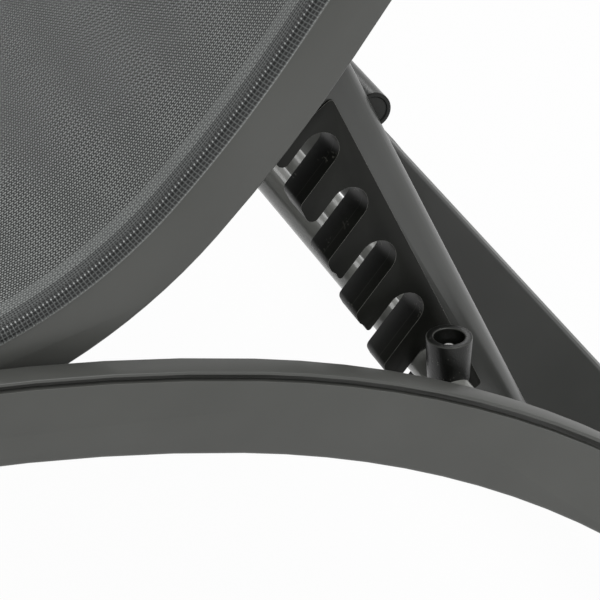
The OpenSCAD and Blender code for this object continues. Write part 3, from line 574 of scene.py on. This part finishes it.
# the slings follow the middle line of their rails; "path" repeats that line in metres and degrees,
# "half" is half of the rail's height, "from" and "until" are the ends that the cloth leaves bare
hinge = Vector(next(joint for joint in frame["joints"] if joint["name"] == "backrest_hinge")["pos_m"])
baseLow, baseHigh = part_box("base_rail_left")
baseOut = -baseLow.y
backSling = {
    "half": 23 * mm, "out": -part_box("backrest_rail_left")[0].y, "sag": 5 * mm,
    "start": (hinge.x - 23 * mm, hinge.z, 0), "flip": False, "from": 6 * mm, "until": 6 * mm,
    "path": [(0, 0.041), (0.3316, 44.84), (0.8486, 9.2), (0, 0.2), (0.7, -16)]}
seatSling = {
    "half": 30 * mm, "out": baseOut, "sag": 9 * mm,
    "start": (hinge.x - 15 * mm, baseHigh.z - 30 * mm, 0), "flip": True, "from": 20 * mm, "until": 0,
    "path": [(1.216, -5), (1.5, 8), (1.1, -9), (0, 0.52), (0.12, -36)]}


def slingPoint(settings, distance, up, side):  # up from the rail's middle line, sideways from the middle
    x, z, slope = alongPath(settings["start"], settings["path"], distance)
    angle = math.radians(slope)
    x, z = x - up * math.sin(angle), z + up * math.cos(angle)
    if settings["flip"]:  # the seat's path runs towards the foot end
        x = 2 * settings["start"][0] - x
    return Vector((x, side, z))


def slingSection(settings):  # the cloth's section from groove to groove, as (up, sideways)
    levels = {"groove": settings["half"] - sling["down"] * mm,
              "top": settings["half"] + sling["above"] * mm + sling["thick"] * mm / 2}
    half = [(levels[level] + up * mm, settings["out"] + out * mm) for level, up, out in sling["edge"]]
    top, inner = half[-1]
    columns = sling["columns"]
    half += [(top, inner * (1 - column / columns)) for column in range(1, columns + 1)]
    return [(up, -out) for up, out in half] + half[-2::-1], inner


def slingMesh(settings, name, section, inner, ends, rows):  # the section repeated along the rails
    first, last = ends
    vertices, faces = [], []
    for row in range(rows + 1):
        distance = first + (last - first) * row / rows
        toEnd = min(distance - first, last - distance)
        lift = sling["endLift"] * mm if toEnd < sling["endHem"] * mm else 0.0
        for up, side in section:
            share = max(0.0, 1 - (side / inner) ** 2)
            droop = sling["droop"] * settings["sag"] * share
            vertices.append(slingPoint(settings, distance, up + lift - droop, side))
    count = len(section)
    for row in range(rows):
        for start in range(row * count, (row + 1) * count - 1):
            face = (start, start + 1, start + count + 1, start + count)
            faces.append(face if settings["flip"] else face[::-1])
    mesh = bpy.data.meshes.new(name)
    mesh.from_pydata(vertices, [], faces)
    return mesh


def measureCloth(mesh, acrossMm, lengthMm, rows):  # the weave's map and its distances to the edges
    uvLayer = mesh.uv_layers.new(name="clothMm")
    edgeLayer = mesh.attributes.new("edgeMm", "FLOAT", "POINT")
    endLayer = mesh.attributes.new("endMm", "FLOAT", "POINT")
    count, widthMm = len(acrossMm), acrossMm[-1]
    for loop in mesh.loops:
        row, column = divmod(loop.vertex_index, count)
        uvLayer.data[loop.index].uv = (acrossMm[column] - widthMm / 2, lengthMm * row / rows)
    for index in range(len(mesh.vertices)):
        row, column = divmod(index, count)
        along, across = lengthMm * row / rows, acrossMm[column]
        edgeLayer.data[index].value = min(across, widthMm - across) - acrossMm[sling["tucked"]]
        endLayer.data[index].value = min(along, lengthMm - along)


settling = {
    "shots": 15,           # steps of the simulation
    "quality": 6,          # parts that a step is worked out in
    "mass": 0.3,           # kg at each point
    "stretch": 60,         # stiffness of the threads
    "shear": 30,           # stiffness across them
    "bend": 2,             # stiffness against folding
    "margin": 1,           # how far inside the edge's inner end the cloth is still held, mm
}


def hang(piece, held, sag):  # lets the taut cloth settle under its own weight, by no more than sag
    group = piece.vertex_groups.new(name="held")
    group.add(held, 1.0, "REPLACE")
    before = [vertex.co.copy() for vertex in piece.data.vertices]
    cloth = piece.modifiers.new("settle", "CLOTH")
    values = cloth.settings
    values.quality = settling["quality"]
    values.mass = settling["mass"]
    values.tension_stiffness = values.compression_stiffness = settling["stretch"]
    values.shear_stiffness = settling["shear"]
    values.bending_stiffness = settling["bend"]
    values.vertex_group_mass = "held"
    cloth.collision_settings.use_collision = False
    for shot in range(settling["shots"]):
        bpy.context.scene.frame_set(shot + 1)
    applyModifiers(piece)
    bpy.context.scene.frame_set(1)
    for vertex, start in zip(piece.data.vertices, before):
        move = vertex.co - start
        if move.length > sag:
            vertex.co = start + move.normalized() * sag
    piece.vertex_groups.clear()


def makeSling(settings, name, body, replaced):  # one cloth over both rails, settled and thick
    section, inner = slingSection(settings)
    acrossMm = [0.0]
    for here, there in zip(section, section[1:]):
        acrossMm.append(acrossMm[-1] + math.dist(here, there) / mm)
    whole = sum(stretchLength(stretch) for stretch in settings["path"])
    first, last = settings["from"], whole - settings["until"]
    length = last - first
    rows = round(length / (sling["ring"] * mm))
    mesh = slingMesh(settings, name, section, inner, (first, last), rows)
    measureCloth(mesh, acrossMm, length / mm, rows)
    piece = bpy.data.objects.new(name, mesh)
    bpy.context.scene.collection.objects.link(piece)
    onRail = inner - settling["margin"] * mm
    columns = [column for column, (up, side) in enumerate(section) if abs(side) > onRail]
    hang(piece, [row * len(section) + column for row in range(rows + 1) for column in columns],
         settings["sag"])
    selectOnly(piece)
    thicken = piece.modifiers.new("cloth", "SOLIDIFY")
    thicken.thickness = sling["thick"] * mm
    thicken.offset = 0
    applyModifiers(piece)
    bpy.ops.object.shade_smooth_by_angle(angle=math.radians(50))
    coatPiece(piece, (weave,))
    finishPiece(piece, name, body, [replaced])
    print(name, "made,", rows, "rows")


makeSling(backSling, "backrestSling", "backrest", "backrest_sling")
makeSling(seatSling, "seatSling", "base", "seat_sling")


stage = {
    "size": 30,            # of the floor, m
    "drop": 0.5,           # the floor's depth below the shoes, so that the two don't flicker, mm
    "seen": 0.97,          # share of pure white in what is seen of the floor; the rest is shadow
    "room": 0.52,          # strength of the light from all round
    "aim": (0.4, 0, 0.4),  # what the lamps point at, m
    "lamps": (("keyLamp", (1.3, -1.5, 2.8), 1.5, 40),   # name, place in m, size in m, watts
              ("rimLamp", (1.6, 2.6, 2.4), 1.2, 12)),
}


def seenRays(tree):  # nearly 1 for what is seen directly or in gloss, so a trace of shadow is left
    path = addNode(tree, "LightPath")
    seen = path.outputs["Is Camera Ray"]
    for ray in ("Is Glossy Ray", "Is Transmission Ray"):
        seen = addNode(tree, "Math", {0: seen, 1: path.outputs[ray]}, operation="MAXIMUM")
    return addNode(tree, "Math", {0: seen, 1: stage["seen"]}, operation="MULTIPLY")


def makeFloor():
    bpy.ops.object.select_all(action="DESELECT")
    bpy.ops.mesh.primitive_plane_add(size=stage["size"], location=(0, 0, -stage["drop"] * mm))
    floor = bpy.context.active_object
    floor.name = "floor"
    material, tree, shader, place = newMaterial("paintedWhiteFloor", 0.9)
    shader.inputs["Base Color"].default_value = linear("#e6e6e6")
    glow = addNode(tree, "Emission", {0: linear("#ffffff"), 1: 1.0})
    mixed = addNode(tree, "MixShader", {0: seenRays(tree), 1: shader, 2: glow})
    clear = addNode(tree, "BsdfTransparent")  # from below, the floor doesn't hide the underside
    below = addNode(tree, "NewGeometry").outputs["Backfacing"]
    oneSided = addNode(tree, "MixShader", {0: below, 1: mixed, 2: clear})
    feed(tree, tree.nodes["Material Output"], 0, oneSided)
    floor.data.materials.append(material)


def addLamp(name, place, size, watts):
    light = bpy.data.lights.new(name, "AREA")
    light.size = size
    light.energy = watts
    lamp = bpy.data.objects.new(name, light)
    bpy.context.scene.collection.objects.link(lamp)
    lamp.location = place
    lamp.rotation_euler = (Vector(stage["aim"]) - Vector(place)).to_track_quat("-Z", "Y").to_euler()


def makeRoom():  # a dim white room that looks pure white to the camera
    world = bpy.data.worlds.new("softRoom")
    bpy.context.scene.world = world
    world.use_nodes = True
    tree = world.node_tree
    room = tree.nodes["Background"]
    room.inputs[0].default_value = linear("#ffffff")
    room.inputs[1].default_value = stage["room"]
    white = addNode(tree, "Background", {0: linear("#ffffff"), 1: 1.0})
    direct = addNode(tree, "LightPath").outputs["Is Camera Ray"]
    backdrop = addNode(tree, "MixShader", {0: direct, 1: room, 2: white})
    feed(tree, tree.nodes["World Output"], 0, backdrop)


makeFloor()
makeRoom()
for lamp in stage["lamps"]:
    addLamp(*lamp)
print("stage ready")

view = {
    "azimuth": 22.1, "elevation": 30.0,   # degrees
    "distance": 2.3,                      # m
    "lens": 220.9, "sensor": 36,          # mm
    "ahead": 0.312, "up": 0.0397,         # from the hinge to the target on the left rail's side, m
}
target = Vector((hinge.x + view["ahead"], -baseOut, hinge.z + view["up"]))
heading, pitch = math.radians(view["azimuth"]), math.radians(view["elevation"])
look = Vector((math.sin(heading) * math.cos(pitch), math.cos(heading) * math.cos(pitch), -math.sin(pitch)))
cameraData = bpy.data.cameras.new("camera")
cameraData.lens = view["lens"]
cameraData.sensor_width = view["sensor"]
camera = bpy.data.objects.new("camera", cameraData)
bpy.context.scene.collection.objects.link(camera)
camera.location = target - look * view["distance"]
camera.rotation_euler = look.to_track_quat("-Z", "Y").to_euler()
bpy.context.scene.camera = camera
bpy.context.scene.view_settings.view_transform = "Standard"
